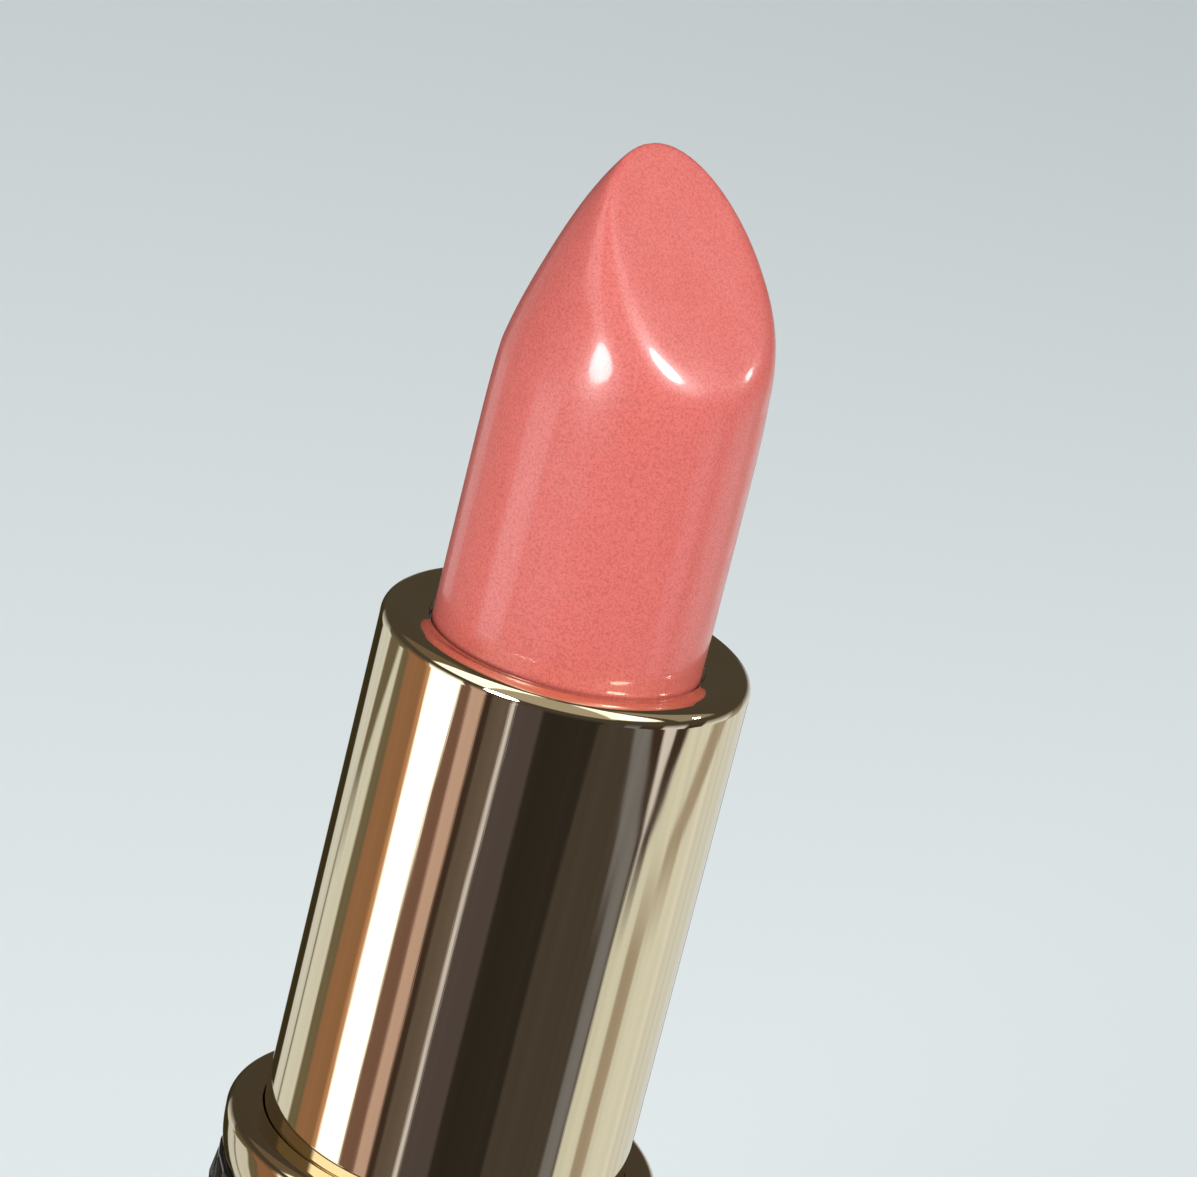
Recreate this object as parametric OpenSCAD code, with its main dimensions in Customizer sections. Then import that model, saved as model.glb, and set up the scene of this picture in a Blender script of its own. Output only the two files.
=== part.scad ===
/* [Bullet] */
// Diameter of the lipstick bullet
bullet_d = 12.1; // [11.9:0.05:12.2]
// Height of the bullet's tip above the tube's rim when it is fully wound up
tip_above_rim = 22; // [20:0.2:23]
// Height above the rim at which the straight side gives way to the rounded nose
shoulder_above_rim = 12.4; // [11:0.1:13.5]
// How full the nose is: 1 is a cone and 2 is an ellipse
nose_power = 1.5; // [1.3:0.1:2.2]
// Slope of the slanted face, in degrees from level
slant_angle = 46; // [38:1:47]
// Direction in which the slanted face looks, in degrees from +X
slant_turn = -53; // [-90:1:90]

/* [Twist tube] */
// Outer diameter of the shiny metal tube
tube_d = 16.6; // [16.4:0.1:16.6]
// Height of tube that stands above the collar
tube_exposed = 24.5; // [23:0.1:26]
// Radius of the rounded rim
rim_round = 0.45; // [0.2:0.05:0.5]
// Travel of the bullet from fully up to fully down
travel = 23.4; // [20:0.2:23.4]
// Rise of the spiral groove in one turn
spiral_pitch = 14.4; // [12:0.2:16]

/* [Base] */
// Outer diameter over the diamonds of the base
base_d = 19.9; // [19.8:0.1:20.4]
// Height of the black base
base_h = 25; // [24:0.5:26]
// Number of diamonds round the base
diamonds_round = 36; // [24:2:44]
// Number of rows of diamonds up the base
diamond_rows = 9; // [6:1:12]
// Depth from a diamond's middle to its edges
diamond_relief = 0.18; // [0.1:0.02:0.24]

/* [Collar] */
// Outer diameter of the trim collar at its widest
collar_d = 19.8; // [19.6:0.1:19.8]
// Height of the collar that shows above the base
collar_h = 2.8; // [2.4:0.1:3]

/* [Hidden] */
$fn = 96;
eps = 0.02;

// Heights up the axis, from the surface that the case stands on
collar_top = base_h + collar_h;
rim_top = collar_top + tube_exposed;
tip_top = rim_top + tip_above_rim;

// Radii of the nested pieces, from the bullet outwards
bullet_r = bullet_d / 2;
held_r = bullet_r - 0.05;
cup_wall = 0.4;
cup_r = bullet_r + cup_wall;
run_fit = 0.05;
fork_in = cup_r + run_fit;
fork_r = fork_in + 0.45;
spiral_in = fork_r + run_fit;
groove_r = spiral_in + 0.45;
spiral_r = spiral_in + 0.7;
tube_r = tube_d / 2;
neck_r = tube_r - 0.2;
rim_hole_r = bullet_r + 0.2;
lug_r = 0.9;
lug_reach = groove_r - 0.1;

// The rim's lip, which keeps the cup in the tube
lip_t = 0.75;
sleeve_top = rim_top - lip_t;

// The cup, wound fully up
cup_h = 9.7;
cup_top = sleeve_top - 0.25;
cup_bottom = cup_top - cup_h;
cup_floor = 0.8;
lug_z = cup_bottom + 1.5;
bullet_bottom = cup_bottom + cup_floor;

// The fork's foot and the pieces about it, set out from the cup's lowest place
base_bore_r = 9;
liner_bore_r = 8.5;
shelf_z = cup_bottom - travel - 5.5;
shelf_t = 0.8;
flange_bottom = shelf_z + shelf_t;
flange_top = flange_bottom + 1.6;
sleeve_bottom = flange_top + run_fit;
snap_z = sleeve_bottom + 0.5;
snap_h = 0.6;
snap_proud = 0.12;
seal_z = snap_z + snap_h + 0.35;
seal_h = 0.9;
seal_depth = 0.6;
slot_bottom = lug_z - travel - lug_r - 0.1;
slot_w = 2 * lug_r + 0.16;
fork_foot_bore = 4.5;
fork_foot_top = cup_bottom - travel - 0.3;

// The groove's ends run a little past the lug's ends of travel
groove_run_on = 9;
groove_axial = 2.2;
groove_step = 7.5;

// Pieces in the foot of the base
plug_t = 1.6;
plug_bottom = 0.2;
plug_top = plug_bottom + plug_t;
weight_r = 8.4;
weight_bottom = plug_top + 0.2;
pad_t = 0.5;
weight_top = shelf_z - pad_t;
label_d = 13;
label_t = 0.1;

// The collar's spigot, pressed into the base
spigot_h = 3;
collar_bore_r = tube_r + 0.1;
collar_r = collar_d / 2;
collar_foot = 0.5;
collar_round = 0.7;
liner_top = base_h - spigot_h - 0.1;

// The base's plain bands above and below its diamonds
foot_band = 0.9;
top_band = 0.5;
base_r = base_d / 2;
band_r = base_r - diamond_relief;

// One turned outline, drawn as (radius, height)
module turned() {
    rotate_extrude($fn = 96) children();
}

// A ring of plain square section
module ring(inner, outer, low, high) {
    translate([0, 0, low])
        difference() {
            cylinder(r = outer, h = high - low);
            translate([0, 0, -1]) cylinder(r = inner, h = high - low + 2);
        }
}

// A square outline with its outer upper corner rounded
module rounded_corner(inner, outer, low, high, round_r) {
    translate([inner, low]) square([outer - inner, high - low - round_r]);
    translate([inner, high - round_r - eps]) square([outer - inner - round_r, round_r + eps]);
    intersection() {
        translate([outer - round_r, high - round_r]) circle(r = round_r);
        translate([outer - round_r - eps, high - round_r - eps]) square(round_r + 1);
    }
}

// ---- The black base with its diamond-cut skin ----

diamond_h = (base_h - foot_band - top_band) / diamond_rows;
half_step = 180 / diamonds_round;

function on_cylinder(r, angle, z) = [r * cos(angle), r * sin(angle), z];

// Corners of the diamonds lie on rings half a diamond apart; middles stand out between them
corner_rings = 2 * diamond_rows + 1;
function corner_point(ring_no, i) =
    on_cylinder(band_r / cos(half_step / 2), (2 * i + ring_no % 2) * half_step,
                foot_band + ring_no * diamond_h / 2);
function middle_point(ring_no, i) =
    on_cylinder(base_r, (2 * i + (ring_no + 1) % 2) * half_step,
                foot_band + ring_no * diamond_h / 2);

module diamond_skin() {
    n = diamonds_round;
    corners = [for (k = [0 : corner_rings - 1]) for (i = [0 : n - 1]) corner_point(k, i)];
    middles = [for (k = [1 : corner_rings - 2]) for (i = [0 : n - 1]) middle_point(k, i)];
    low_centre = len(corners) + len(middles);
    function corner(k, i) = k * n + (i + n) % n;
    function middle(k, i) = len(corners) + (k - 1) * n + (i + n) % n;
    // An odd ring's point i lies half a diamond ahead of an even ring's point i
    function ahead(k) = k % 2;
    diamond_faces = [
        for (k = [1 : corner_rings - 2])
            for (i = [0 : n - 1])
                let (
                    m = middle(k, i),
                    left = corner(k, i - 1 + ahead(k + 1)),
                    right = corner(k, i + ahead(k + 1)),
                    below = corner(k - 1, i),
                    above = corner(k + 1, i)
                )
                for (f = [[m, below, left], [m, right, below], [m, above, right], [m, left, above]]) f
    ];
    // Half diamonds close the pattern against the plain bands
    foot_faces = [for (i = [0 : n - 1]) [corner(0, i), corner(1, i), corner(0, i + 1)]];
    top_ring = corner_rings - 1;
    top_faces = [for (i = [0 : n - 1]) [corner(top_ring, i + 1), corner(top_ring - 1, i), corner(top_ring, i)]];
    cap_faces = [
        for (i = [0 : n - 1])
            for (f = [[low_centre, corner(0, i), corner(0, i + 1)],
                      [low_centre + 1, corner(top_ring, i + 1), corner(top_ring, i)]]) f
    ];
    polyhedron(
        points = concat(corners, middles, [[0, 0, foot_band], [0, 0, base_h - top_band]]),
        faces = concat(diamond_faces, foot_faces, top_faces, cap_faces),
        convexity = 4
    );
}

module base_shell() {
    color("#141215")
        difference() {
            union() {
                diamond_skin();
                cylinder(r = band_r, h = foot_band + eps);
                translate([0, 0, base_h - top_band - eps]) cylinder(r = band_r, h = top_band + eps);
            }
            translate([0, 0, -1]) cylinder(r = base_bore_r, h = base_h + 2);
        }
}

// ---- The fixed pieces inside the base ----

module base_liner() {
    color("#1c1c1e")
        union() {
            ring(liner_bore_r, base_bore_r, shelf_z, liner_top);
            ring(fork_foot_bore + 1, liner_bore_r + eps, shelf_z, flange_bottom);
        }
}

module base_weight() {
    color("#8b8d90")
        difference() {
            translate([0, 0, weight_bottom]) cylinder(r = weight_r, h = weight_top - weight_bottom);
            translate([0, 0, weight_bottom - 1]) cylinder(r = 1.5, h = weight_top);
        }
}

module weight_pad() {
    color("#3b3b3d") ring(1.5, weight_r - 0.6, weight_top, shelf_z);
}

module base_plug() {
    color("#18171a")
        difference() {
            translate([0, 0, plug_bottom]) cylinder(r = base_bore_r, h = plug_t);
            translate([0, 0, plug_bottom - 1]) cylinder(d = label_d + 0.4, h = 1 + label_t + 0.1);
        }
}

module shade_label() {
    color("#f0eee9")
        translate([0, 0, plug_bottom + 0.1]) cylinder(d = label_d, h = label_t);
}

module inner_fork() {
    color("#f4f3ef")
        difference() {
            union() {
                ring(fork_foot_bore, liner_bore_r, flange_bottom, flange_top);
                ring(fork_foot_bore, fork_r, flange_bottom, fork_foot_top);
                ring(fork_in, fork_r, fork_foot_top - eps, sleeve_top - 0.1);
                turned()
                    polygon([
                        [fork_r - 0.2, snap_z],
                        [fork_r, snap_z],
                        [fork_r + snap_proud, snap_z + snap_h / 2],
                        [fork_r, snap_z + snap_h],
                        [fork_r - 0.2, snap_z + snap_h]
                    ]);
            }
            ring(fork_r - seal_depth, fork_r + 1, seal_z, seal_z + seal_h);
            translate([-fork_r - 1, -slot_w / 2, slot_bottom])
                cube([2 * fork_r + 2, slot_w, sleeve_top]);
        }
}

module friction_ring() {
    wire_r = (seal_depth - 0.04) / 2;
    color("#c9c8c4")
        turned()
            translate([spiral_in - 0.03 - wire_r, seal_z + seal_h / 2]) circle(r = wire_r, $fn = 32);
}

// ---- The gold trim collar ----

module trim_collar() {
    side_bow = 0.25;
    side_low = base_h + 0.35;
    side_high = collar_top - collar_round;
    color("#cdb88a")
        difference() {
            union() {
                ring(collar_bore_r, base_bore_r, base_h - spigot_h, base_h + eps);
                turned() {
                    translate([collar_bore_r, base_h]) square([collar_r - side_bow - collar_bore_r, 0.4]);
                    difference() {
                        rounded_corner(collar_bore_r, collar_r, side_low, collar_top, collar_round);
                        translate([collar_r - side_bow, side_low - 1])
                            polygon([[0, 0], [2, 0], [2, 1.9], [side_bow, 1.9], [0, 1 + eps]]);
                    }
                }
            }
            translate([0, 0, base_h - spigot_h - 1]) cylinder(r = collar_bore_r, h = spigot_h + collar_h + 2);
        }
}

// ---- The twisting pieces ----

module outer_tube() {
    neck_top = collar_top + 0.1;
    color("#d8c690")
        difference() {
            union() {
                translate([0, 0, sleeve_bottom]) cylinder(r = neck_r, h = neck_top - sleeve_bottom + eps);
                turned() rounded_corner(0, tube_r, neck_top, rim_top, rim_round);
            }
            translate([0, 0, sleeve_bottom - 1]) cylinder(r = spiral_r, h = sleeve_top - sleeve_bottom + 1);
            cylinder(r = rim_hole_r, h = rim_top + 1);
        }
}

// The helical cutter of one groove: four corners swept up a right-handed helix
function groove_angle(z) = (z - lug_z) * 360 / spiral_pitch;

module groove_cutter(start) {
    low_z = lug_z - travel;
    first = groove_angle(low_z) - groove_run_on;
    last = groove_angle(lug_z) + groove_run_on;
    steps = ceil((last - first) / groove_step);
    cut_in = spiral_in - 0.4;
    points = [
        for (k = [0 : steps])
            let (
                angle = first + (last - first) * k / steps,
                z = lug_z + angle * spiral_pitch / 360
            )
            for (p = [[cut_in, -1], [groove_r, -1], [groove_r, 1], [cut_in, 1]])
                on_cylinder(p[0], angle + start, z + p[1] * groove_axial / 2)
    ];
    sides = [
        for (k = [0 : steps - 1])
            for (c = [0 : 3])
                let (
                    a = 4 * k + c,
                    b = 4 * k + (c + 1) % 4
                )
                for (f = [[a, b, b + 4], [a, b + 4, a + 4]]) f
    ];
    e = 4 * steps;
    ends = [[0, 3, 2], [0, 2, 1], [e, e + 1, e + 2], [e, e + 2, e + 3]];
    polyhedron(points = points, faces = concat(sides, ends), convexity = 10);
}

module spiral_sleeve() {
    color("#efeee8")
        difference() {
            ring(spiral_in, spiral_r, sleeve_bottom, sleeve_top);
            turned()
                polygon([
                    [spiral_in - 0.3, snap_z - 0.1],
                    [spiral_in, snap_z - 0.1],
                    [spiral_in + snap_proud, snap_z + snap_h / 2 - 0.1],
                    [spiral_in + snap_proud, snap_z + snap_h / 2 + 0.1],
                    [spiral_in, snap_z + snap_h + 0.1],
                    [spiral_in - 0.3, snap_z + snap_h + 0.1]
                ]);
            for (start = [0, 180]) groove_cutter(start);
        }
}

// ---- The pieces that rise and fall ----

module bullet_cup() {
    rib_r = 0.3;
    vent_r = 1;
    color("#fbfaf6")
        union() {
            difference() {
                union() {
                    translate([0, 0, cup_bottom]) cylinder(r = cup_r, h = cup_h);
                    translate([-lug_reach, 0, lug_z]) rotate([0, 90, 0]) cylinder(r = lug_r, h = 2 * lug_reach);
                }
                translate([0, 0, cup_bottom + cup_floor]) cylinder(r = bullet_r, h = cup_h);
                translate([0, 0, cup_bottom - 1]) cylinder(r = vent_r, h = cup_floor + 2);
            }
            intersection() {
                ring(held_r, bullet_r + 0.1, cup_bottom + cup_floor - 0.1, cup_top - 1);
                for (turn = [30 : 60 : 330])
                    rotate(turn) translate([bullet_r, 0, cup_bottom]) cylinder(r = rib_r, h = cup_h, $fn = 24);
            }
        }
}

// The moulded bullet: a straight body, drawn in to a nose and cut by one slanted face
nose_h = 11;
function nose_r(t) = bullet_r * pow(1 - pow(t, nose_power), 1 / nose_power);

module bullet() {
    shoulder_z = rim_top + shoulder_above_rim;
    tip_offset = nose_r((tip_above_rim - shoulder_above_rim) / nose_h);
    nose_steps = 20;
    nose = [
        for (k = [0 : nose_steps])
            let (t = sin(90 * k / nose_steps))
            [k < nose_steps ? nose_r(t) : 0, shoulder_z + nose_h * t]
    ];
    color("#d9635f")
        rotate(slant_turn)
            difference() {
                union() {
                    translate([0, 0, bullet_bottom]) cylinder(r = held_r, h = cup_h - cup_floor + eps);
                    translate([0, 0, cup_top]) cylinder(r = bullet_r, h = shoulder_z - cup_top + eps);
                    turned() polygon(concat([[0, shoulder_z]], nose));
                }
                translate([-tip_offset, 0, tip_top])
                    rotate([0, slant_angle, 0]) translate([-30, -20, 0]) cube([60, 40, 30]);
            }
}

base_shell();
base_liner();
base_weight();
weight_pad();
base_plug();
shade_label();
trim_collar();
inner_fork();
friction_ring();
outer_tube();
spiral_sleeve();
bullet_cup();
bullet();
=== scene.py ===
# %% [markdown]
# # A lipstick case, wound fully up
# The case is a black base with a gold collar, a mirror-bright tube that twists in it, and a coral bullet
# that the twist raises and lowers. The frame holds every working piece at its real size, so the sizes
# below are read from it. The pieces that show are then made again here, with the fine shapes that catch
# the light.

# %% Load the frame
import math
import bmesh
import bpy
import numpy as np
from mathutils import Matrix, Vector


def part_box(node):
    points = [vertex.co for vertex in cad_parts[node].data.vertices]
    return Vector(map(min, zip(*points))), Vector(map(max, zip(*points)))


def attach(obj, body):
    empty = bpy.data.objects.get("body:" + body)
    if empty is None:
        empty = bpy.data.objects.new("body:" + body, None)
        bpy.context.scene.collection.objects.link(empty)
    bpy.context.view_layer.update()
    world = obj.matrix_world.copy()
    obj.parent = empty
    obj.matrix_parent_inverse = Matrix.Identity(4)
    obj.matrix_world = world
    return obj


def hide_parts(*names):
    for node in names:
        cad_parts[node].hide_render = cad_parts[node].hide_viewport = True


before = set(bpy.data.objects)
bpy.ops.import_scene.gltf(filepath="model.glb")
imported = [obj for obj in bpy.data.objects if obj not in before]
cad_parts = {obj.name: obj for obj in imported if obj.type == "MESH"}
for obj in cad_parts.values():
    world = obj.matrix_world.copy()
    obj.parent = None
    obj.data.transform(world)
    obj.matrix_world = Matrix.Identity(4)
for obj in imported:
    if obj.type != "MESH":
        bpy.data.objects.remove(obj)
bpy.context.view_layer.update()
MM = 0.001

# %% [markdown]
# ## The sizes that everything hangs on
# A turned object is a few radii and a few heights. They are read from the boxes of the frame's own
# pieces, so a change of size in the frame carries through to every mesh made here. A box has a lowest and
# a highest corner: the highest corner's x is the radius of a round piece, and its z is the piece's top.

# %% Read the tube and the bullet
rim_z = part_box("outer_tube")[1].z
tube_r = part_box("outer_tube")[1].x
tube_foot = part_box("outer_tube")[0].z
sleeve_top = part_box("spiral_sleeve")[1].z
sleeve_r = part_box("spiral_sleeve")[1].x
cup_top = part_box("bullet_cup")[1].z
bullet_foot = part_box("bullet")[0].z
bullet_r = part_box("bullet")[1].x
tip_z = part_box("bullet")[1].z
print(f"rim at {rim_z / MM:.1f} mm, tube {2 * tube_r / MM:.1f} mm across")
print(f"bullet {2 * bullet_r / MM:.1f} mm across, tip at {tip_z / MM:.1f} mm")

# %% Read the collar and the base
collar_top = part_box("trim_collar")[1].z
collar_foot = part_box("trim_collar")[0].z
collar_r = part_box("trim_collar")[1].x
base_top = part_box("base_shell")[1].z
base_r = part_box("base_shell")[1].x
base_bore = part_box("base_liner")[1].x
print(f"base {base_top / MM:.1f} mm high and {2 * base_r / MM:.1f} mm across")
print(f"collar top at {collar_top / MM:.1f} mm")

# %% [markdown]
# ## The camera
# The eye looks down at the case by about a fifth of a right angle, from well back with a long lens, so
# that the case keeps its true shape. The camera is rolled a little, which makes the case lean to the
# right in the render. It looks at the middle of the tube's rim, which dips a little towards the bullet,
# and then a touch up and right.

# %% Work out where the camera stands and looks
VIEW_DOWN = math.radians(19.61)
VIEW_ROLL = math.radians(14.05)
VIEW_DISTANCE = 246.7 * MM
AIM_RIGHT = 1.35 * MM
AIM_UP = 2.32 * MM
LIP_DIP = 0.28 * MM

level = Vector((1, 0, 0))
steep = Vector((0, math.sin(VIEW_DOWN), math.cos(VIEW_DOWN)))
ahead = Vector((0, math.cos(VIEW_DOWN), -math.sin(VIEW_DOWN)))
right = level * math.cos(VIEW_ROLL) + steep * math.sin(VIEW_ROLL)
up = steep * math.cos(VIEW_ROLL) - level * math.sin(VIEW_ROLL)
lip_z = rim_z - LIP_DIP
rim_centre = Vector((0, 0, lip_z))
eye = rim_centre - ahead * VIEW_DISTANCE
look = (rim_centre + right * AIM_RIGHT + up * AIM_UP - eye).normalized()
right = look.cross(up).normalized()
up = right.cross(look)
print(f"camera {VIEW_DISTANCE:.3f} m away, {math.degrees(VIEW_DOWN):.1f} degrees above level")

# %% Place the camera
LENS = 169.9
FILM_WIDTH = 36

camera_data = bpy.data.cameras.new("camera")
camera_data.lens = LENS
camera_data.sensor_width = FILM_WIDTH
camera = bpy.data.objects.new("camera", camera_data)
camera.matrix_world = Matrix.Translation(eye) @ Matrix((right, up, -look)).transposed().to_4x4()
bpy.context.scene.collection.objects.link(camera)
bpy.context.scene.camera = camera
bpy.context.scene.view_settings.view_transform = "Standard"
print(f"lens of {LENS:.0f} mm, so the view is {math.degrees(camera_data.angle):.1f} degrees wide")

# %% [markdown]
# ## Rings of points
# Everything on this case is built from level rings of points round one axis, joined by bands of faces.
# Blender can spin a profile with a modifier too. Making the rings one by one keeps every point where a sum
# says it is, and lets the same helpers serve the tube, the collar, the base and the bullet.

# %% Helpers: rings, and the bands between them


def even_angles(count, offset=0.0):
    """Evenly spaced angles round the axis, moved on by an offset counted in steps."""
    return [2 * math.pi * (k + offset) / count for k in range(count)]


def ring_of_points(mesh_data, radius, height, angles):
    """One level ring of points round the case's axis."""
    return [mesh_data.verts.new((radius * math.cos(a), radius * math.sin(a), height)) for a in angles]


def join_rings(mesh_data, ring, following):
    """A band of four-sided faces between two rings with the same number of points."""
    for k in range(len(ring)):
        after = (k + 1) % len(ring)
        mesh_data.faces.new((ring[k], ring[after], following[after], following[k]))


def finish_mesh(name, mesh_data, sharp_angle=35):
    """Turn a bmesh into an object with smooth faces, kept crisp where two faces meet sharply."""
    bmesh.ops.recalc_face_normals(mesh_data, faces=mesh_data.faces)
    for face in mesh_data.faces:
        face.smooth = True
    mesh = bpy.data.meshes.new(name)
    mesh_data.to_mesh(mesh)
    mesh_data.free()
    mesh.set_sharp_from_angle(angle=math.radians(sharp_angle))
    piece = bpy.data.objects.new(name, mesh)
    bpy.context.scene.collection.objects.link(piece)
    return piece


# %% [markdown]
# ## A lathe
# The tube and the collar are turned shapes. A lathe takes one closed outline, as radius and height, and
# spins it. Round corners are arcs of many short steps, so that a mirror finish shows no flats. When a
# piece is done it has to be told the CAD pieces it stands for and the body it moves with; its finish
# is given later.

# %% Helpers: arcs, the lathe, and seating a piece
ROUND_STEPS = 256


def arc(centre_r, centre_z, radius, start, end, steps=10):
    """Points of an arc in the outline, with angles in degrees from outwards towards up."""
    angles = [math.radians(start + (end - start) * k / steps) for k in range(steps + 1)]
    return [(centre_r + radius * math.cos(a), centre_z + radius * math.sin(a)) for a in angles]


def lathe(name, outline):
    """Spin a closed outline of (radius, height) points round the case's axis."""
    spun = bmesh.new()
    rings = [ring_of_points(spun, radius, height, even_angles(ROUND_STEPS)) for radius, height in outline]
    for ring, following in zip(rings, rings[1:] + rings[:1]):
        join_rings(spun, ring, following)
    return finish_mesh(name, spun)


def seat(piece, body, slot, *nodes):
    """Say what a finished piece moves with and which CAD nodes it stands for. The slot, which names a finish,
    is not used.
    """
    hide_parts(*nodes)
    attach(piece, body)
    print(f"{piece.name}: {len(piece.data.vertices)} points, rides on {body}")
    return piece


def ease(share):
    """Turn an even climb from 0 to 1 into one that starts and ends gently."""
    share = min(max(share, 0), 1)
    return share * share * (3 - 2 * share)


# %% [markdown]
# ## The shiny tube
# The tube is drawn from thin aluminium sheet, so its rim is folded over in a small round and runs in to a
# flat lip that almost touches the bullet. The lip is what stops the cup inside from being wound out of
# the tube. A smooth curve joins the lip to the round. An extra ring close to the foot of the round keeps
# the long side flat where the shading turns. Below the collar the tube steps in a little, to run free in
# the base.

# %% Sizes of the tube
RIM_ROUND = 0.68 * MM
RIM_FLAT = 0.2 * MM
LIP_GAP = 0.17 * MM
LIP_EDGE = 0.1 * MM
HOLD = 0.02 * MM
NECK_STEP = 0.2 * MM
NECK_TUCK = 0.6 * MM
NECK_ROUND = 0.08 * MM
NECK_HOLD = 0.1 * MM

lip_r = bullet_r + LIP_GAP
bead_in = tube_r - RIM_ROUND - RIM_FLAT
neck_r = tube_r - NECK_STEP
neck_top = collar_top - NECK_TUCK
print(f"the lip leaves {LIP_GAP / MM:.2f} mm round the bullet, the rim's round is {RIM_ROUND / MM:.2f} mm")

# %% Spin the tube


def lip_slope(steps=12):
    """The top of the lip, which climbs in a smooth curve from the bullet up to the rolled rim."""
    shares = [k / steps for k in range(steps + 1)]
    return [(lip_r + (bead_in - lip_r) * share, lip_z + (rim_z - lip_z) * ease(share)) for share in shares]


tube_outline = (
    [(lip_r, sleeve_top), (lip_r, lip_z - LIP_EDGE)]
    + lip_slope()
    + [(tube_r - RIM_ROUND - HOLD, rim_z)]
    + arc(tube_r - RIM_ROUND, rim_z - RIM_ROUND, RIM_ROUND, 90, 0, 20)
    + [(tube_r, rim_z - RIM_ROUND - HOLD), (tube_r, neck_top + NECK_HOLD)]
    + arc(tube_r - NECK_ROUND, neck_top + NECK_ROUND, NECK_ROUND, 0, -90, 4)
    + [(neck_r, neck_top), (neck_r, tube_foot), (sleeve_r, tube_foot), (sleeve_r, sleeve_top)]
)
tube = seat(lathe("tube_shell", tube_outline), "twist_tube", "gold_tube", "outer_tube")

# %% [markdown]
# ## The gold collar
# The collar closes the mouth of the base. Its side is a shallow barrel that tucks in at the foot, and its
# top edge is a broad round, so one ring of metal shows a dark flat, a bright line and a shaded side. Its
# spigot is pressed into the base and doesn't show.

# %% Sizes of the collar
COLLAR_ROUND = 0.7 * MM
COLLAR_TUCK = 0.3 * MM
COLLAR_FOOT_ROUND = 0.12 * MM
BARREL_START = 0.16 * MM
COLLAR_MOUTH_ROUND = 0.1 * MM
COLLAR_GAP = 0.04 * MM
BARREL_POWER = 2.4

collar_bore = tube_r + COLLAR_GAP
foot_r = collar_r - COLLAR_TUCK - COLLAR_FOOT_ROUND
mouth_r = collar_bore + COLLAR_MOUTH_ROUND
print(f"collar {2 * collar_r / MM:.1f} mm across, {(collar_top - base_top) / MM:.1f} mm above the base")

# %% Spin the collar


def barrel(z_low, z_high, steps=12):
    """The side of the collar from its foot up: widest near the top, drawn in towards the foot."""
    points = []
    for k in range(steps + 1):
        share = k / steps
        points.append((collar_r - COLLAR_TUCK * (1 - share) ** BARREL_POWER, z_low + (z_high - z_low) * share))
    return points


collar_outline = (
    [(collar_bore, collar_foot), (base_bore, collar_foot), (base_bore, base_top), (foot_r, base_top)]
    + arc(foot_r, base_top + COLLAR_FOOT_ROUND, COLLAR_FOOT_ROUND, -90, -20, 5)
    + barrel(base_top + BARREL_START, collar_top - COLLAR_ROUND)
    + arc(collar_r - COLLAR_ROUND, collar_top - COLLAR_ROUND, COLLAR_ROUND, 4, 90, 16)
    + [(collar_r - COLLAR_ROUND - HOLD, collar_top), (mouth_r + HOLD, collar_top)]
    + arc(mouth_r, collar_top - COLLAR_MOUTH_ROUND, COLLAR_MOUTH_ROUND, 90, 180, 5)
)
collar = seat(lathe("gold_collar", collar_outline), "base", "gold_collar", "trim_collar")

# %% [markdown]
# ## The diamond-cut base
# The base is moulded in a tool with rows of small four-sided points cut into it. Each diamond has a
# middle that stands out and four corners that lie deeper, so every diamond flashes in turn. A bump in the
# finish would give the flashes but not the outline, so the skin is one sheet of real triangles. Rings of
# corners are stacked from the foot up, each half a diamond round from the one below, and each diamond is
# four triangles round its middle.

# %% Sizes of the diamonds
DIAMONDS_ROUND = 36
DIAMOND_ROWS = 9
RELIEF = 0.18 * MM
FOOT_BAND = 0.9 * MM
TOP_BAND = 0.5 * MM
FOOT_ROUND = 0.3 * MM
TOP_ROUND = 0.15 * MM
EDGE_BEVEL = 0.035 * MM

band_r = base_r - RELIEF
diamond_h = (base_top - FOOT_BAND - TOP_BAND) / DIAMOND_ROWS
diamond_w = 2 * math.pi * base_r / DIAMONDS_ROUND
print(f"{DIAMONDS_ROUND} diamonds round, each {diamond_w / MM:.2f} mm by {diamond_h / MM:.2f} mm")

# %% Helpers for the diamonds


def base_ring(shell, radius, height, half_steps=0):
    """One ring of corners, moved round by half a diamond or not."""
    return ring_of_points(shell, radius, height, even_angles(DIAMONDS_ROUND, half_steps / 2))


def diamond_row(shell, row, corners):
    """The four triangles of each diamond in a row, between its own corners and the next rows' corners."""
    shift = row % 2
    middles = base_ring(shell, base_r, FOOT_BAND + row * diamond_h / 2, (row + 1) % 2)
    for k in range(DIAMONDS_ROUND):
        after = (k + 1) % DIAMONDS_ROUND
        over = (k + shift) % DIAMONDS_ROUND
        round_it = (corners[row][k], corners[row - 1][over], corners[row][after], corners[row + 1][over])
        for first, second in zip(round_it, round_it[1:] + round_it[:1]):
            shell.faces.new((middles[over], first, second))


def half_diamonds(shell, edge, beside):
    """Flat triangles that fill the notches along the foot or the top of the pattern."""
    for k in range(DIAMONDS_ROUND):
        shell.faces.new((edge[k], edge[(k + 1) % DIAMONDS_ROUND], beside[k]))


def plain_rings(shell, start, outline):
    """Carry a ring of points on through plain rings, and return the last of them."""
    ring = start
    for radius, height in outline:
        following = base_ring(shell, radius, height)
        join_rings(shell, ring, following)
        ring = following
    return ring


# %% Build the base's skin
shell = bmesh.new()
rows = 2 * DIAMOND_ROWS + 1
corners = [base_ring(shell, band_r, FOOT_BAND + row * diamond_h / 2, row % 2) for row in range(rows)]
for row in range(1, rows - 1):
    diamond_row(shell, row, corners)
half_diamonds(shell, corners[0], corners[1])
half_diamonds(shell, corners[-1], corners[-2])

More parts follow.
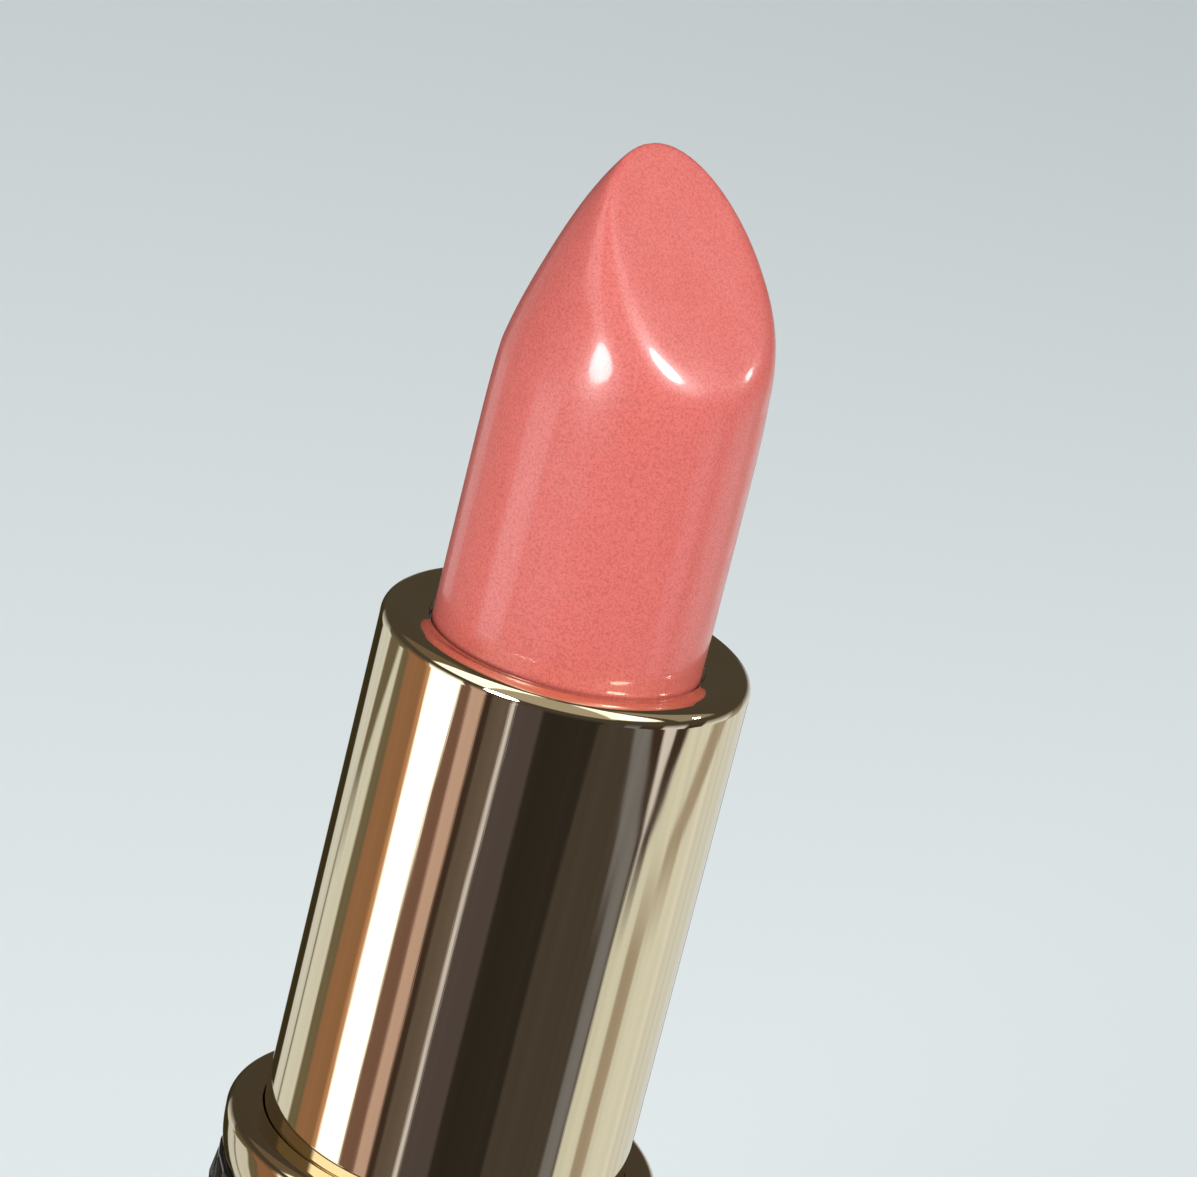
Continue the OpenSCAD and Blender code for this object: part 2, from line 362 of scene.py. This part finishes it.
foot_path = [(band_r, FOOT_ROUND)] + arc(band_r - FOOT_ROUND, FOOT_ROUND, FOOT_ROUND, -30, -90, 3)
top_path = [(band_r, base_top - TOP_ROUND)]
top_path += arc(band_r - TOP_ROUND, base_top - TOP_ROUND, TOP_ROUND, 30, 90, 3)
inner_foot = plain_rings(shell, corners[0], foot_path + [(base_bore, 0)])
inner_top = plain_rings(shell, corners[-1], top_path + [(base_bore, base_top)])
join_rings(shell, inner_foot, inner_top)
print("faces in the base's skin:", len(shell.faces))

# %% [markdown]
# A mould can't make a perfectly sharp edge. A narrow bevel gives each edge of each diamond the little
# line of light that a moulded edge has. It is a modifier, so the skin below it stays simple.

# %% Soften the edges and seat the base
base = finish_mesh("diamond_base", shell, sharp_angle=1)
edge_round = base.modifiers.new("edge_round", "BEVEL")
edge_round.width = EDGE_BEVEL
edge_round.segments = 2
edge_round.limit_method = "ANGLE"
edge_round.angle_limit = math.radians(6)
seat(base, "base", "black_gloss", "base_shell")

# %% [markdown]
# ## The bullet
# The bullet is poured in a mould and comes out with a straight side, a nose that draws in and a slanted
# face that slices the nose away to one side. A wax casting has no sharp edge. Cutting a mesh with a plane
# would leave one, and a modifier can't round it evenly where the cut runs out at the tip. So the shape is
# written as a rule that says how far a point is outside the body. The nose leans and bows a little, as a
# soft stick does when it leaves the mould.

# %% Sizes of the nose and the slanted face
SHOULDER = lip_z + 12.69 * MM
SHOULDER_BLEND = 0.2
NOSE_H = 11.2 * MM
NOSE_POWER = 1.48
NOSE_LEAN = 0.37 * MM
NOSE_BOW = 0.15 * MM
BOW_LENGTH = 1.2
SLANT = math.radians(46.4)
SLANT_TURN = math.radians(-53.5)
SLANT_HEIGHT = lip_z + 19.98 * MM

downhill = np.array((math.cos(SLANT_TURN), math.sin(SLANT_TURN)))
print(f"the side is straight for {(SHOULDER - lip_z) / MM:.1f} mm above the lip, then the nose draws in")

# %% The rule for the nose


def nose_radius(rise):
    """Radius of the nose, for how far up the nose a point is. It eases in below 0 and closes at 1."""
    eased = np.clip((rise + np.sqrt(rise**2 + SHOULDER_BLEND**2)) / 2, 0, 1)
    return bullet_r * np.clip(1 - eased**NOSE_POWER, 0, 1) ** (1 / NOSE_POWER)


def outside_nose(points, rise, step=0.01, steepest=-4):
    """How far outside the nose each point is, measured square to the nose's own slope."""
    lean = NOSE_LEAN * np.clip(rise, 0, 1) ** 2
    bow = NOSE_BOW * np.sin(2 * math.pi * np.clip(rise, 0, 1) / BOW_LENGTH)
    across = np.hypot(points[..., 0] + lean * downhill[0] - bow, points[..., 1] + lean * downhill[1])
    slope = (nose_radius(rise + step) - nose_radius(rise - step)) / (2 * step * NOSE_H)
    distance = (across - nose_radius(rise)) / np.sqrt(1 + np.clip(slope, steepest, 0) ** 2)
    return np.where(rise > 1, np.maximum(distance, (rise - 1) * NOSE_H), distance)


# %% [markdown]
# The slanted face is a flat cut. Where it meets the nose, the two distances are blended over a soft edge
# instead of taking the larger one outright, and that rounds the crease. The round is broad low down,
# where the crease has worn smooth, and narrow near the tip, which comes almost to a point.

# %% The rule for the whole bullet
SOFT_EDGE = 1.5 * MM
SHARP_TIP = 0.3 * MM
TIP_STARTS = 0.45
TIP_SPREAD = 0.4


def outside(points):
    """How far outside the bullet each point is, with the slanted cut blended softly into the nose."""
    rise = (points[..., 2] - SHOULDER) / NOSE_H
    from_nose = outside_nose(points, rise)
    along = points[..., 0] * downhill[0] + points[..., 1] * downhill[1]
    from_slant = along * math.sin(SLANT) + (points[..., 2] - SLANT_HEIGHT) * math.cos(SLANT)
    soft = SOFT_EDGE + (SHARP_TIP - SOFT_EDGE) * np.clip((rise - TIP_STARTS) / TIP_SPREAD, 0, 1)
    share = np.clip(1 - np.abs(from_nose - from_slant) / soft, 0, 1)
    return np.maximum(from_nose, from_slant) + share**3 * soft / 6


# %% [markdown]
# To turn the rule into a mesh, rays go out from a point inside, and each is followed until it leaves the
# wax. The search starts with a gap from inside to well outside and halves it forty times, which is finer
# than any mesh needs.

# %% Find the skin with rays
RAYS_ROUND = 288
RAYS_UP = 170
REACH = 25 * MM
CENTRE_DROP = 1.0 * MM


def skin_points(centre, directions):
    """Where rays from the centre meet the skin, by halving the gap between inside and outside."""
    near = np.zeros(directions.shape[:-1])
    far = np.full(directions.shape[:-1], REACH)
    for _ in range(40):
        middle = (near + far) / 2
        is_out = outside(centre + directions * middle[..., None]) > 0
        far = np.where(is_out, middle, far)
        near = np.where(is_out, near, middle)
    return centre + directions * near[..., None]


ray_centre = np.array((0, 0, SHOULDER - CENTRE_DROP))
turn = np.array(even_angles(RAYS_ROUND))
tilt = np.linspace(math.pi / 2, 0, RAYS_UP)[:-1, None]
ones = np.ones(RAYS_ROUND)
directions = np.stack(
    [np.sin(tilt) * np.cos(turn), np.sin(tilt) * np.sin(turn), np.cos(tilt) * ones], axis=-1
)
upper = skin_points(ray_centre, directions)
crown = skin_points(ray_centre, np.array((0.0, 0.0, 1.0)))
print("rays that found the skin:", upper.shape[0] * upper.shape[1])

# %% [markdown]
# Below the ray's centre the bullet is a plain round stick. It sits in the cup with a hair of room round
# it, and it has a rounded heel. The stick's rings and the rays' rings have the same number of points, so
# one skin runs from heel to tip.

# %% Build the bullet's skin
HEEL_ROUND = 0.4 * MM
CUP_ROOM = 0.05 * MM
SIDE_RINGS = 32

held_r = bullet_r - CUP_ROOM
side_heights = [cup_top + (ray_centre[2] - cup_top) * k / SIDE_RINGS for k in range(SIDE_RINGS)]
lower = arc(held_r - HEEL_ROUND, bullet_foot + HEEL_ROUND, HEEL_ROUND, -90, 0, 6)
lower += [(held_r, cup_top - CUP_ROOM)]
lower += [(nose_radius((height - SHOULDER) / NOSE_H), height) for height in side_heights]

wax = bmesh.new()
rings = [ring_of_points(wax, radius, height, turn) for radius, height in lower]
rings += [[wax.verts.new(point) for point in row] for row in upper]
for ring, following in zip(rings, rings[1:]):
    join_rings(wax, ring, following)
foot_centre = wax.verts.new((0, 0, bullet_foot))
crown_point = wax.verts.new(crown)
for k in range(RAYS_ROUND):
    after = (k + 1) % RAYS_ROUND
    wax.faces.new((foot_centre, rings[0][after], rings[0][k]))
    wax.faces.new((crown_point, rings[-1][k], rings[-1][after]))
bullet = seat(finish_mesh("bullet_wax", wax, sharp_angle=50), "carrier", "lipstick_wax", "bullet")
print(f"tip at {max(p.co.z for p in bullet.data.vertices) / MM:.2f} mm, CAD tip at {tip_z / MM:.2f} mm")

# %% [markdown]
# ## Finishes
# Every finish is a small set of nodes: one shader, with noise that varies its roughness and lifts its
# surface by hundredths of a millimetre. The noise is fixed to the object, so it goes where the piece
# goes. A few helpers add such a noise, and then each finish reads as a short list of its facts.

# %% Helpers: a new finish, noise, and its spread


def new_finish(name, colour, roughness, metallic=0.0):
    """A material with one shader, and the colour, roughness and metal set on its own sockets."""
    material = bpy.data.materials.new(name)
    material.use_nodes = True
    shader = material.node_tree.nodes["Principled BSDF"]
    shader.inputs["Base Color"].default_value = (*colour, 1)
    shader.inputs["Roughness"].default_value = roughness
    shader.inputs["Metallic"].default_value = metallic
    return material, shader


def noise_map(material, size, detail=2.0, stretch=(1, 1, 1)):
    """Noise fixed to the object, with features as large as size. A small stretch draws an axis out."""
    nodes, links = material.node_tree.nodes, material.node_tree.links
    place = nodes.new("ShaderNodeTexCoord")
    mapping = nodes.new("ShaderNodeMapping")
    mapping.inputs["Scale"].default_value = [s / size for s in stretch]
    noise = nodes.new("ShaderNodeTexNoise")
    noise.inputs["Scale"].default_value = 1
    noise.inputs["Detail"].default_value = detail
    links.new(place.outputs["Object"], mapping.inputs["Vector"])
    links.new(mapping.outputs["Vector"], noise.inputs["Vector"])
    return noise.outputs["Fac"]


def spread(material, source, low, high, from_low=0.3, from_high=0.7):
    """Rescale a value so that its usual spread runs from low to high."""
    scale = material.node_tree.nodes.new("ShaderNodeMapRange")
    scale.inputs["From Min"].default_value = from_low
    scale.inputs["From Max"].default_value = from_high
    scale.inputs["To Min"].default_value = low
    scale.inputs["To Max"].default_value = high
    material.node_tree.links.new(source, scale.inputs["Value"])
    return scale.outputs["Result"]


# %% [markdown]
# A noise can drive three things: how rough the surface is, how high it stands, and which of two colours
# it takes. Roughness needs only a link. The other two have a node of their own, made by these helpers.

# %% Helpers: bumps, tints, and dressing a piece


def raise_surface(material, shader, source, depth):
    """Bump the surface by a depth in metres where the source is high, on top of any bump that is there."""
    nodes, links = material.node_tree.nodes, material.node_tree.links
    bump = nodes.new("ShaderNodeBump")
    bump.inputs["Strength"].default_value = 1
    bump.inputs["Distance"].default_value = depth
    links.new(source, bump.inputs["Height"])
    if shader.inputs["Normal"].is_linked:
        links.new(shader.inputs["Normal"].links[0].from_socket, bump.inputs["Normal"])
    links.new(bump.outputs["Normal"], shader.inputs["Normal"])


def vary_roughness(material, shader, source, low, high):
    """Let a noise carry the roughness between two values."""
    material.node_tree.links.new(spread(material, source, low, high), shader.inputs["Roughness"])


def vary_colour(material, shader, share, first, second):
    """Run the colour from first to second as the share runs from 0 to 1."""
    mix = material.node_tree.nodes.new("ShaderNodeMix")
    mix.data_type = "RGBA"
    mix.inputs["A"].default_value = (*first, 1)
    mix.inputs["B"].default_value = (*second, 1)
    material.node_tree.links.new(share, mix.inputs["Factor"])
    material.node_tree.links.new(mix.outputs["Result"], shader.inputs["Base Color"])


def dress(piece, material):
    """Give a piece one finish all over."""
    piece.data.materials.clear()
    piece.data.materials.append(material)
    print(f"{piece.name} is finished in {material.name}")


# %% [markdown]
# ### Mirror gold
# The tube and the collar are polished aluminium, dyed a pale gold. A mirror has no colour of its own but
# tints what it reflects, so the metal value is 1 and the colour is the dye. Handling leaves cloudy
# patches that are a touch less sharp, faint wiping marks run up and down, and the thin sheet has dents
# too shallow to see but for the way they bend a reflection.

# %% Make the mirror gold


def mirror_gold(name, colour, roughness):
    """Polished and dyed aluminium: cloudy from handling, with fine upright hairlines and shallow dents."""
    material, shader = new_finish(name, colour, roughness, metallic=1.0)
    clouds = noise_map(material, 4 * MM, detail=3)
    vary_roughness(material, shader, clouds, roughness * 0.7, roughness * 1.6)
    hairlines = noise_map(material, 0.05 * MM, detail=1, stretch=(1, 1, 0.02))
    raise_surface(material, shader, hairlines, 0.0004 * MM)
    dents = noise_map(material, 6 * MM, detail=1)
    raise_surface(material, shader, dents, 0.012 * MM)
    return material


dress(tube, mirror_gold("gold_tube", (0.88, 0.77, 0.53), 0.035))
dress(collar, mirror_gold("gold_collar", (0.80, 0.68, 0.46), 0.06))

# %% [markdown]
# ### Lipstick wax
# The bullet is wax and pigment. Light goes a little way in before it comes out, red the furthest, which
# softens the shading. A thin oily skin over it gives a satin shine, and that is a coat with its own
# roughness. Fine pigment shows as a darker speckle a tenth of a millimetre across.

# %% Make the wax


def lipstick_wax():
    """Coral wax with a pigment speckle, a little depth and an oily skin."""
    material, shader = new_finish("lipstick_wax", (0.54, 0.115, 0.097), 0.32)
    speckle = spread(material, noise_map(material, 0.10 * MM, detail=1), 0, 1, 0.3, 0.6)
    vary_colour(material, shader, speckle, (0.47, 0.090, 0.077), (0.60, 0.137, 0.115))
    vary_roughness(material, shader, noise_map(material, 1.5 * MM), 0.28, 0.40)
    raise_surface(material, shader, noise_map(material, 0.12 * MM, detail=2), 0.003 * MM)
    shader.inputs["Subsurface Weight"].default_value = 0.25
    shader.inputs["Subsurface Radius"].default_value = (1.0, 0.35, 0.25)
    shader.inputs["Subsurface Scale"].default_value = 0.6 * MM
    shader.inputs["Coat Weight"].default_value = 0.5
    shader.inputs["Coat Roughness"].default_value = 0.09
    return material


dress(bullet, lipstick_wax())

# %% [markdown]
# ### Black gloss
# The base and the plug that closes it from below are glossy black mouldings. Black plastic looks wrong
# when it is pure black and evenly shiny, so it has a trace of colour, a thin coat, and a gloss that comes
# and goes.

# %% Make the black gloss


def black_gloss():
    """Glossy black plastic with an uneven gloss and the faint waviness of a moulding."""
    material, shader = new_finish("black_gloss", (0.006, 0.005, 0.0065), 0.12)
    vary_roughness(material, shader, noise_map(material, 2.5 * MM, detail=3), 0.07, 0.17)
    raise_surface(material, shader, noise_map(material, 1.2 * MM), 0.002 * MM)
    shader.inputs["Coat Weight"].default_value = 0.25
    shader.inputs["Coat Roughness"].default_value = 0.05
    return material


gloss = black_gloss()
dress(base, gloss)

# %% [markdown]
# ### The plain mouldings inside
# The hidden pieces keep the frame's own shapes, because those are right, and each takes the finish of its
# own stuff. The fork and the spiral are slippery white acetal, the cup is a shinier white, and the liner
# of the base is dull black. All are the same finish with other numbers, so one function makes them.

# %% Make the moulded plastics


def moulded_plastic(name, colour, roughness):
    """Plain plastic, a little darker along its flow marks and with a fine grain from the tool."""
    material, shader = new_finish(name, colour, roughness)
    darker = tuple(0.88 * c for c in colour)
    flow = spread(material, noise_map(material, 3 * MM, detail=3), 0, 1)
    vary_colour(material, shader, flow, darker, colour)
    vary_roughness(material, shader, noise_map(material, 0.8 * MM), roughness - 0.06, roughness + 0.08)
    raise_surface(material, shader, noise_map(material, 0.1 * MM), 0.002 * MM)
    return material


acetal = moulded_plastic("white_plastic", (0.86, 0.85, 0.81), 0.35)
liner_black = moulded_plastic("black_inner", (0.03, 0.03, 0.032), 0.45)
cup_white = moulded_plastic("cup_plastic", (0.90, 0.89, 0.86), 0.28)
print("plastics:", [plastic.name for plastic in (acetal, liner_black, cup_white)])

# %% [markdown]
# ### Steel, foam, rubber and paper
# A turned steel weight in the base makes the case feel heavy, and a pad of foam keeps it from rattling. A
# ring of greased silicone gives the twist its soft drag. A blank paper label is stuck under the plug.
# Each stuff has one thing that tells it apart: turned rings on the steel, open cells in the foam, a wet
# look on the rubber and fibres in the paper.

# %% Make the steel and the foam


def turned_steel():
    """Steel from a lathe, with fine level rings that are now smoother, now rougher."""
    material, shader = new_finish("weight_steel", (0.45, 0.45, 0.46), 0.3, metallic=1.0)
    tool_rings = noise_map(material, 0.12 * MM, detail=1, stretch=(0.05, 0.05, 1))
    vary_roughness(material, shader, tool_rings, 0.22, 0.42)
    raise_surface(material, shader, tool_rings, 0.003 * MM)
    return material


def open_foam():
    """Dark foam whose cells are lower, with painted shade that makes the low cells darker."""
    material, shader = new_finish("foam_pad", (0.05, 0.05, 0.052), 0.9)
    cells = noise_map(material, 0.15 * MM, detail=3)
    raise_surface(material, shader, cells, 0.05 * MM)
    # painted shade: the low cells take the darker colour, as if shadowed in their pits
    vary_colour(material, shader, spread(material, cells, 0, 1), (0.02, 0.02, 0.02), (0.08, 0.08, 0.082))
    return material


steel, foam = turned_steel(), open_foam()
print("made", steel.name, "and", foam.name)

# %% Make the rubber and the paper


def greased_silicone():
    """Milky rubber that is wet with grease in places."""
    material, shader = new_finish("silicone", (0.62, 0.61, 0.57), 0.22)
    vary_roughness(material, shader, noise_map(material, 0.7 * MM), 0.12, 0.35)
    shader.inputs["Subsurface Weight"].default_value = 0.4
    shader.inputs["Subsurface Scale"].default_value = 0.4 * MM
    return material


def blank_paper():
    """Off-white paper with fibres that run one way."""
    material, shader = new_finish("label_paper", (0.85, 0.84, 0.80), 0.5)
    fibres = noise_map(material, 0.08 * MM, detail=3, stretch=(1, 0.3, 1))
    vary_colour(material, shader, spread(material, fibres, 0, 1), (0.80, 0.785, 0.74), (0.88, 0.87, 0.84))
    raise_surface(material, shader, fibres, 0.004 * MM)
    return material


silicone, paper = greased_silicone(), blank_paper()
print("made", silicone.name, "and", paper.name)

# %% Finish the hidden pieces
node_finishes = {
    "base_plug": gloss,
    "base_liner": liner_black,
    "base_weight": steel,
    "weight_pad": foam,
    "shade_label": paper,
    "inner_fork": acetal,
    "spiral_sleeve": acetal,
    "bullet_cup": cup_white,
    "friction_ring": silicone,
}
for node, finish in node_finishes.items():
    dress(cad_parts[node], finish)

# %% [markdown]
# ## The floor and the soft light
# A plain pale floor and an even, slightly blue sky light the case from all round. The floor hides itself
# from reflections, because what the mirror shows is built on its own further down.

# %% Lay the floor and set the sky
FLOOR_REACH = 1.5

floor_mesh = bmesh.new()
bmesh.ops.create_grid(floor_mesh, x_segments=8, y_segments=8, size=FLOOR_REACH)
floor = finish_mesh("floor", floor_mesh)
floor_finish, _ = new_finish("floor", (0.70, 0.74, 0.74), 0.6)
dress(floor, floor_finish)
floor.visible_glossy = False

world = bpy.data.worlds.new("studio")
world.use_nodes = True
sky = world.node_tree.nodes["Background"]
sky.inputs["Color"].default_value = (0.93, 0.97, 1.0, 1)
sky.inputs["Strength"].default_value = 0.75
bpy.context.scene.world = world
print(f"floor {2 * FLOOR_REACH:.0f} m wide, under a sky named {world.name}")

# %% [markdown]
# ## Three lamps
# The wax shows three small highlights: a round one on its shoulder, a long one along the crease, and a
# spark at the right end of the crease. Each is the mirror image of one lamp, so a lamp's bearing and
# height decide where its highlight sits, and its size decides how big it is. Oval lamps give highlights
# without corners.

# %% Hang the lamps
LAMP_DISTANCE = 0.45


def soft_lamp(name, bearing, height_angle, width, height, watts):
    """An oval lamp facing the rim, at a bearing right of the camera and an angle above level, in degrees."""
    turn_by, lift = math.radians(bearing), math.radians(height_angle)
    out = math.cos(lift)
    offset = Vector((math.sin(turn_by) * out, -math.cos(turn_by) * out, math.sin(lift)))
    lamp_data = bpy.data.lights.new(name, "AREA")
    lamp_data.shape = "ELLIPSE"
    lamp_data.size = width
    lamp_data.size_y = height
    lamp_data.energy = watts
    lamp = bpy.data.objects.new(name, lamp_data)
    lamp.location = rim_centre + offset * LAMP_DISTANCE
    lamp.rotation_euler = (rim_centre - lamp.location).to_track_quat("-Z", "Y").to_euler()
    bpy.context.scene.collection.objects.link(lamp)
    print(f"{name}: {watts} W at bearing {bearing}, {height_angle} degrees up")


soft_lamp("window_lamp", -30, 10, 0.17, 0.12, 1.2)
soft_lamp("ceiling_lamp", 58, 42, 0.11, 0.11, 1.1)
soft_lamp("far_lamp", 101, 25, 0.04, 0.05, 0.15)

# %% [markdown]
# ## A ring of cards for the mirror
# A mirror shows whatever stands round it, so the picture in the tube has to be built like a studio set. A
# ring of light and dark cards stands all round, seen only in reflections. From above, the eye sees the
# tube reflect things below the rim's own level, so the cards hang low. These are their colours: a room's
# browns, creams and one window.

# %% Colours of the cards
EDGE_BROWN = (0.044, 0.034, 0.015)
CREAM = (0.69, 0.71, 0.71)
OLIVE = (0.16, 0.133, 0.09)
AMBER = (0.30, 0.156, 0.09)
AMBER_GLOW = (0.50, 0.26, 0.15)
WHITE_HOT = (1.9, 1.9, 2.0)
UMBER = (0.195, 0.11, 0.09)
ROSE = (0.54, 0.38, 0.36)
COCOA = (0.051, 0.033, 0.026)
WALNUT = (0.135, 0.104, 0.094)
PALE = (0.72, 0.70, 0.81)
SMOKE = (0.084, 0.069, 0.077)
INK = (0.03, 0.025, 0.023)
BARK = (0.066, 0.055, 0.051)
LILAC = (0.19, 0.19, 0.23)
TAN = (0.38, 0.325, 0.277)
print(f"the window card is {WHITE_HOT[0] / CREAM[0]:.1f} times as bright as cream")

# %% [markdown]
# Each card is a stretch of the ring, from its own left edge to the next card's. The edges can lean: one
# bearing is for the level that the rim shows, the other for the level that the collar shows. Where two
# edges lean apart, the stripe between them widens down the tube.

# %% Hang the cards by bearing
CARDS = [
    (-180, -180, CREAM),
    (-170, -170, EDGE_BROWN),
    (-146, -146, CREAM),
    (-128, -131, OLIVE),
    (-113, -124, CREAM),
    (-110, -112, OLIVE),
    (-103, -103, AMBER),
    (-85, -85, AMBER_GLOW),
    (-81, -81, WHITE_HOT),
    (-57, -60, UMBER),
    (-50, -50, ROSE),
    (-40, -41, COCOA),
    (-35, -36, WALNUT),
    (-23, -24, PALE),
    (-20.5, -21.5, SMOKE),
    (-4, -4, INK),
    (31, 29, BARK),
    (51, 60, LILAC),
    (62, 74, COCOA),
    (73, 77, PALE),
    (84, 78, COCOA),
    (95, 83, CREAM),
    (118, 100, TAN),
    (132, 112, CREAM),
    (170, 170, EDGE_BROWN),
    (176, 176, CREAM),
]
print("reflection cards:", len(CARDS))

# %% [markdown]
# Straight bands of flat colour would look drawn. The edges are soft by a few degrees, and a fixed random
# streak makes the ring a few hundredths brighter or darker from one bearing to the next, as a real room
# does.

# %% Colour of the ring at a bearing and a height
RING_R = 0.6
CARD_EDGE = 2.6
STREAK_WIDTH = 1.5
STREAK_DEPTH = 0.07

ring_at_rim = lip_z - RING_R * math.tan(VIEW_DOWN)
ring_at_collar = collar_top - RING_R * math.tan(VIEW_DOWN)
streak_rng = np.random.default_rng(7)
streak_at = np.arange(-180, 181, STREAK_WIDTH)
streak_draws = streak_rng.normal(size=len(streak_at) + 2)
streak_share = 1 + STREAK_DEPTH * np.convolve(streak_draws, (0.3, 0.5, 0.3), "valid")


def soft_step(value, edge, width):
    """Climbs from 0 to 1 as the value passes the edge."""
    return ease((value - edge) / width + 0.5)


def card_colour(bearing, height):
    """The ring's colour at a bearing and a height, with soft edges between cards."""
    drop = (ring_at_rim - height) / (ring_at_rim - ring_at_collar)
    drop = min(max(drop, -0.6), 1.6)
    colour = np.array(CARDS[0][2])
    for at_rim, at_collar, card in CARDS[1:]:
        share = soft_step(bearing, at_rim + (at_collar - at_rim) * drop, CARD_EDGE)
        colour = colour * (1 - share) + np.array(card) * share
    return colour * np.interp(bearing, streak_at, streak_share)


print(f"the rim shows the ring at {ring_at_rim:.3f} m, the collar shows it at {ring_at_collar:.3f} m")

# %% [markdown]
# ## The room above
# The round of the rim, the top of the collar and the wet look of the wax reflect what is above level. A
# dim dome carries a few brighter patches there: a large soft one on each side, which light the round of
# the rim, and three faint ones between and beyond them.

# %% Colour of the room at a bearing and a lift
DUSK = np.array((0.070, 0.058, 0.045))
# Each patch: its bearing, half its width, its lowest and highest angle above level, and its colour
ROOM = [
    (-58, 25, 20, 86, (1.6, 1.6, 1.6)),
    (0, 40, 20, 84, (0.42, 0.38, 0.32)),
    (56, 18, 26, 80, (1.5, 1.5, 1.5)),
    (100, 16, 20, 70, (0.30, 0.27, 0.23)),
    (-100, 18, 20, 60, (0.16, 0.12, 0.08)),
]
SIDE_BLUR, LOW_BLUR, HIGH_BLUR = 4, 5, 8


def room_colour(bearing, lift):
    """The dim room above level, with its brighter patches."""
    colour = DUSK
    for centre, half_width, low, high, patch in ROOM:
        inside = soft_step(half_width - abs(bearing - centre), 0, SIDE_BLUR)
        inside *= soft_step(lift, low, LOW_BLUR) * (1 - soft_step(lift, high, HIGH_BLUR))
        colour = colour * (1 - inside) + np.array(patch) * inside
    return colour


print("patches in the room:", len(ROOM))

# %% [markdown]
# ## Build the set
# The ring and the dome are one sheet of faces: rows of points from far below, past the levels that matter
# most, and on over the top. Each point carries its colour, which is quicker to render than a card each
# and lets the edges be soft. A glow finish then gives the colours off as light.

# %% Rows and columns of the set
RING_FOOT = -0.7
MARGIN = 0.02
RING_COLUMNS = 1080
CARD_ROWS = 8

low_heights = [RING_FOOT, ring_at_collar - MARGIN]
tube_span = ring_at_rim - ring_at_collar
low_heights += [ring_at_collar + tube_span * k / CARD_ROWS for k in range(CARD_ROWS + 1)]
low_heights += [ring_at_rim + MARGIN, ring_at_rim + 0.05]
lifts = [4, 8, 12] + list(range(15, 88, 3)) + [89]
side = [(RING_R, z) for z in low_heights]
for lift in lifts:
    side.append((RING_R * math.cos(math.radians(lift)), lip_z + RING_R * math.sin(math.radians(lift))))
bearings = [-180 + 360 * k / RING_COLUMNS for k in range(RING_COLUMNS)]
print(f"{len(bearings)} columns of {len(side)} points")

# %% Make the sheet and paint it
ring = bmesh.new()
glow = ring.loops.layers.float_color.new("glow")
columns, colours = [], []
for bearing in bearings:
    turn_by = math.radians(bearing)
    columns.append([ring.verts.new((r * math.sin(turn_by), -r * math.cos(turn_by), z)) for r, z in side])
    colours.append([card_colour(bearing, z) for z in low_heights])
    colours[-1] += [room_colour(bearing, lift) for lift in lifts]
for k in range(RING_COLUMNS):
    after = (k + 1) % RING_COLUMNS
    for row in range(len(side) - 1):
        patch = ((k, row), (after, row), (after, row + 1), (k, row + 1))
        face = ring.faces.new([columns[column][level_row] for column, level_row in patch])
        for loop, (column, level_row) in zip(face.loops, patch):
            loop[glow] = (*colours[column][level_row], 1)
cards = finish_mesh("reflection_cards", ring)
print(f"{cards.name}: {len(cards.data.polygons)} faces")

# %% [markdown]
# The set must not be seen, cast a shadow or light the case. It is there for mirrors only, so every kind
# of ray but the reflected one passes it by.

# %% Let the set glow in reflections only
card_finish = bpy.data.materials.new("reflection_cards")
card_finish.use_nodes = True
card_nodes, card_links = card_finish.node_tree.nodes, card_finish.node_tree.links
card_nodes.remove(card_nodes["Principled BSDF"])
card_glow = card_nodes.new("ShaderNodeEmission")
card_paint = card_nodes.new("ShaderNodeVertexColor")
card_paint.layer_name = "glow"
card_links.new(card_paint.outputs["Color"], card_glow.inputs["Color"])
card_links.new(card_glow.outputs["Emission"], card_nodes["Material Output"].inputs["Surface"])
dress(cards, card_finish)
cards.visible_camera = False
cards.visible_diffuse = False
cards.visible_shadow = False
cards.visible_transmission = False
cards.visible_volume_scatter = False
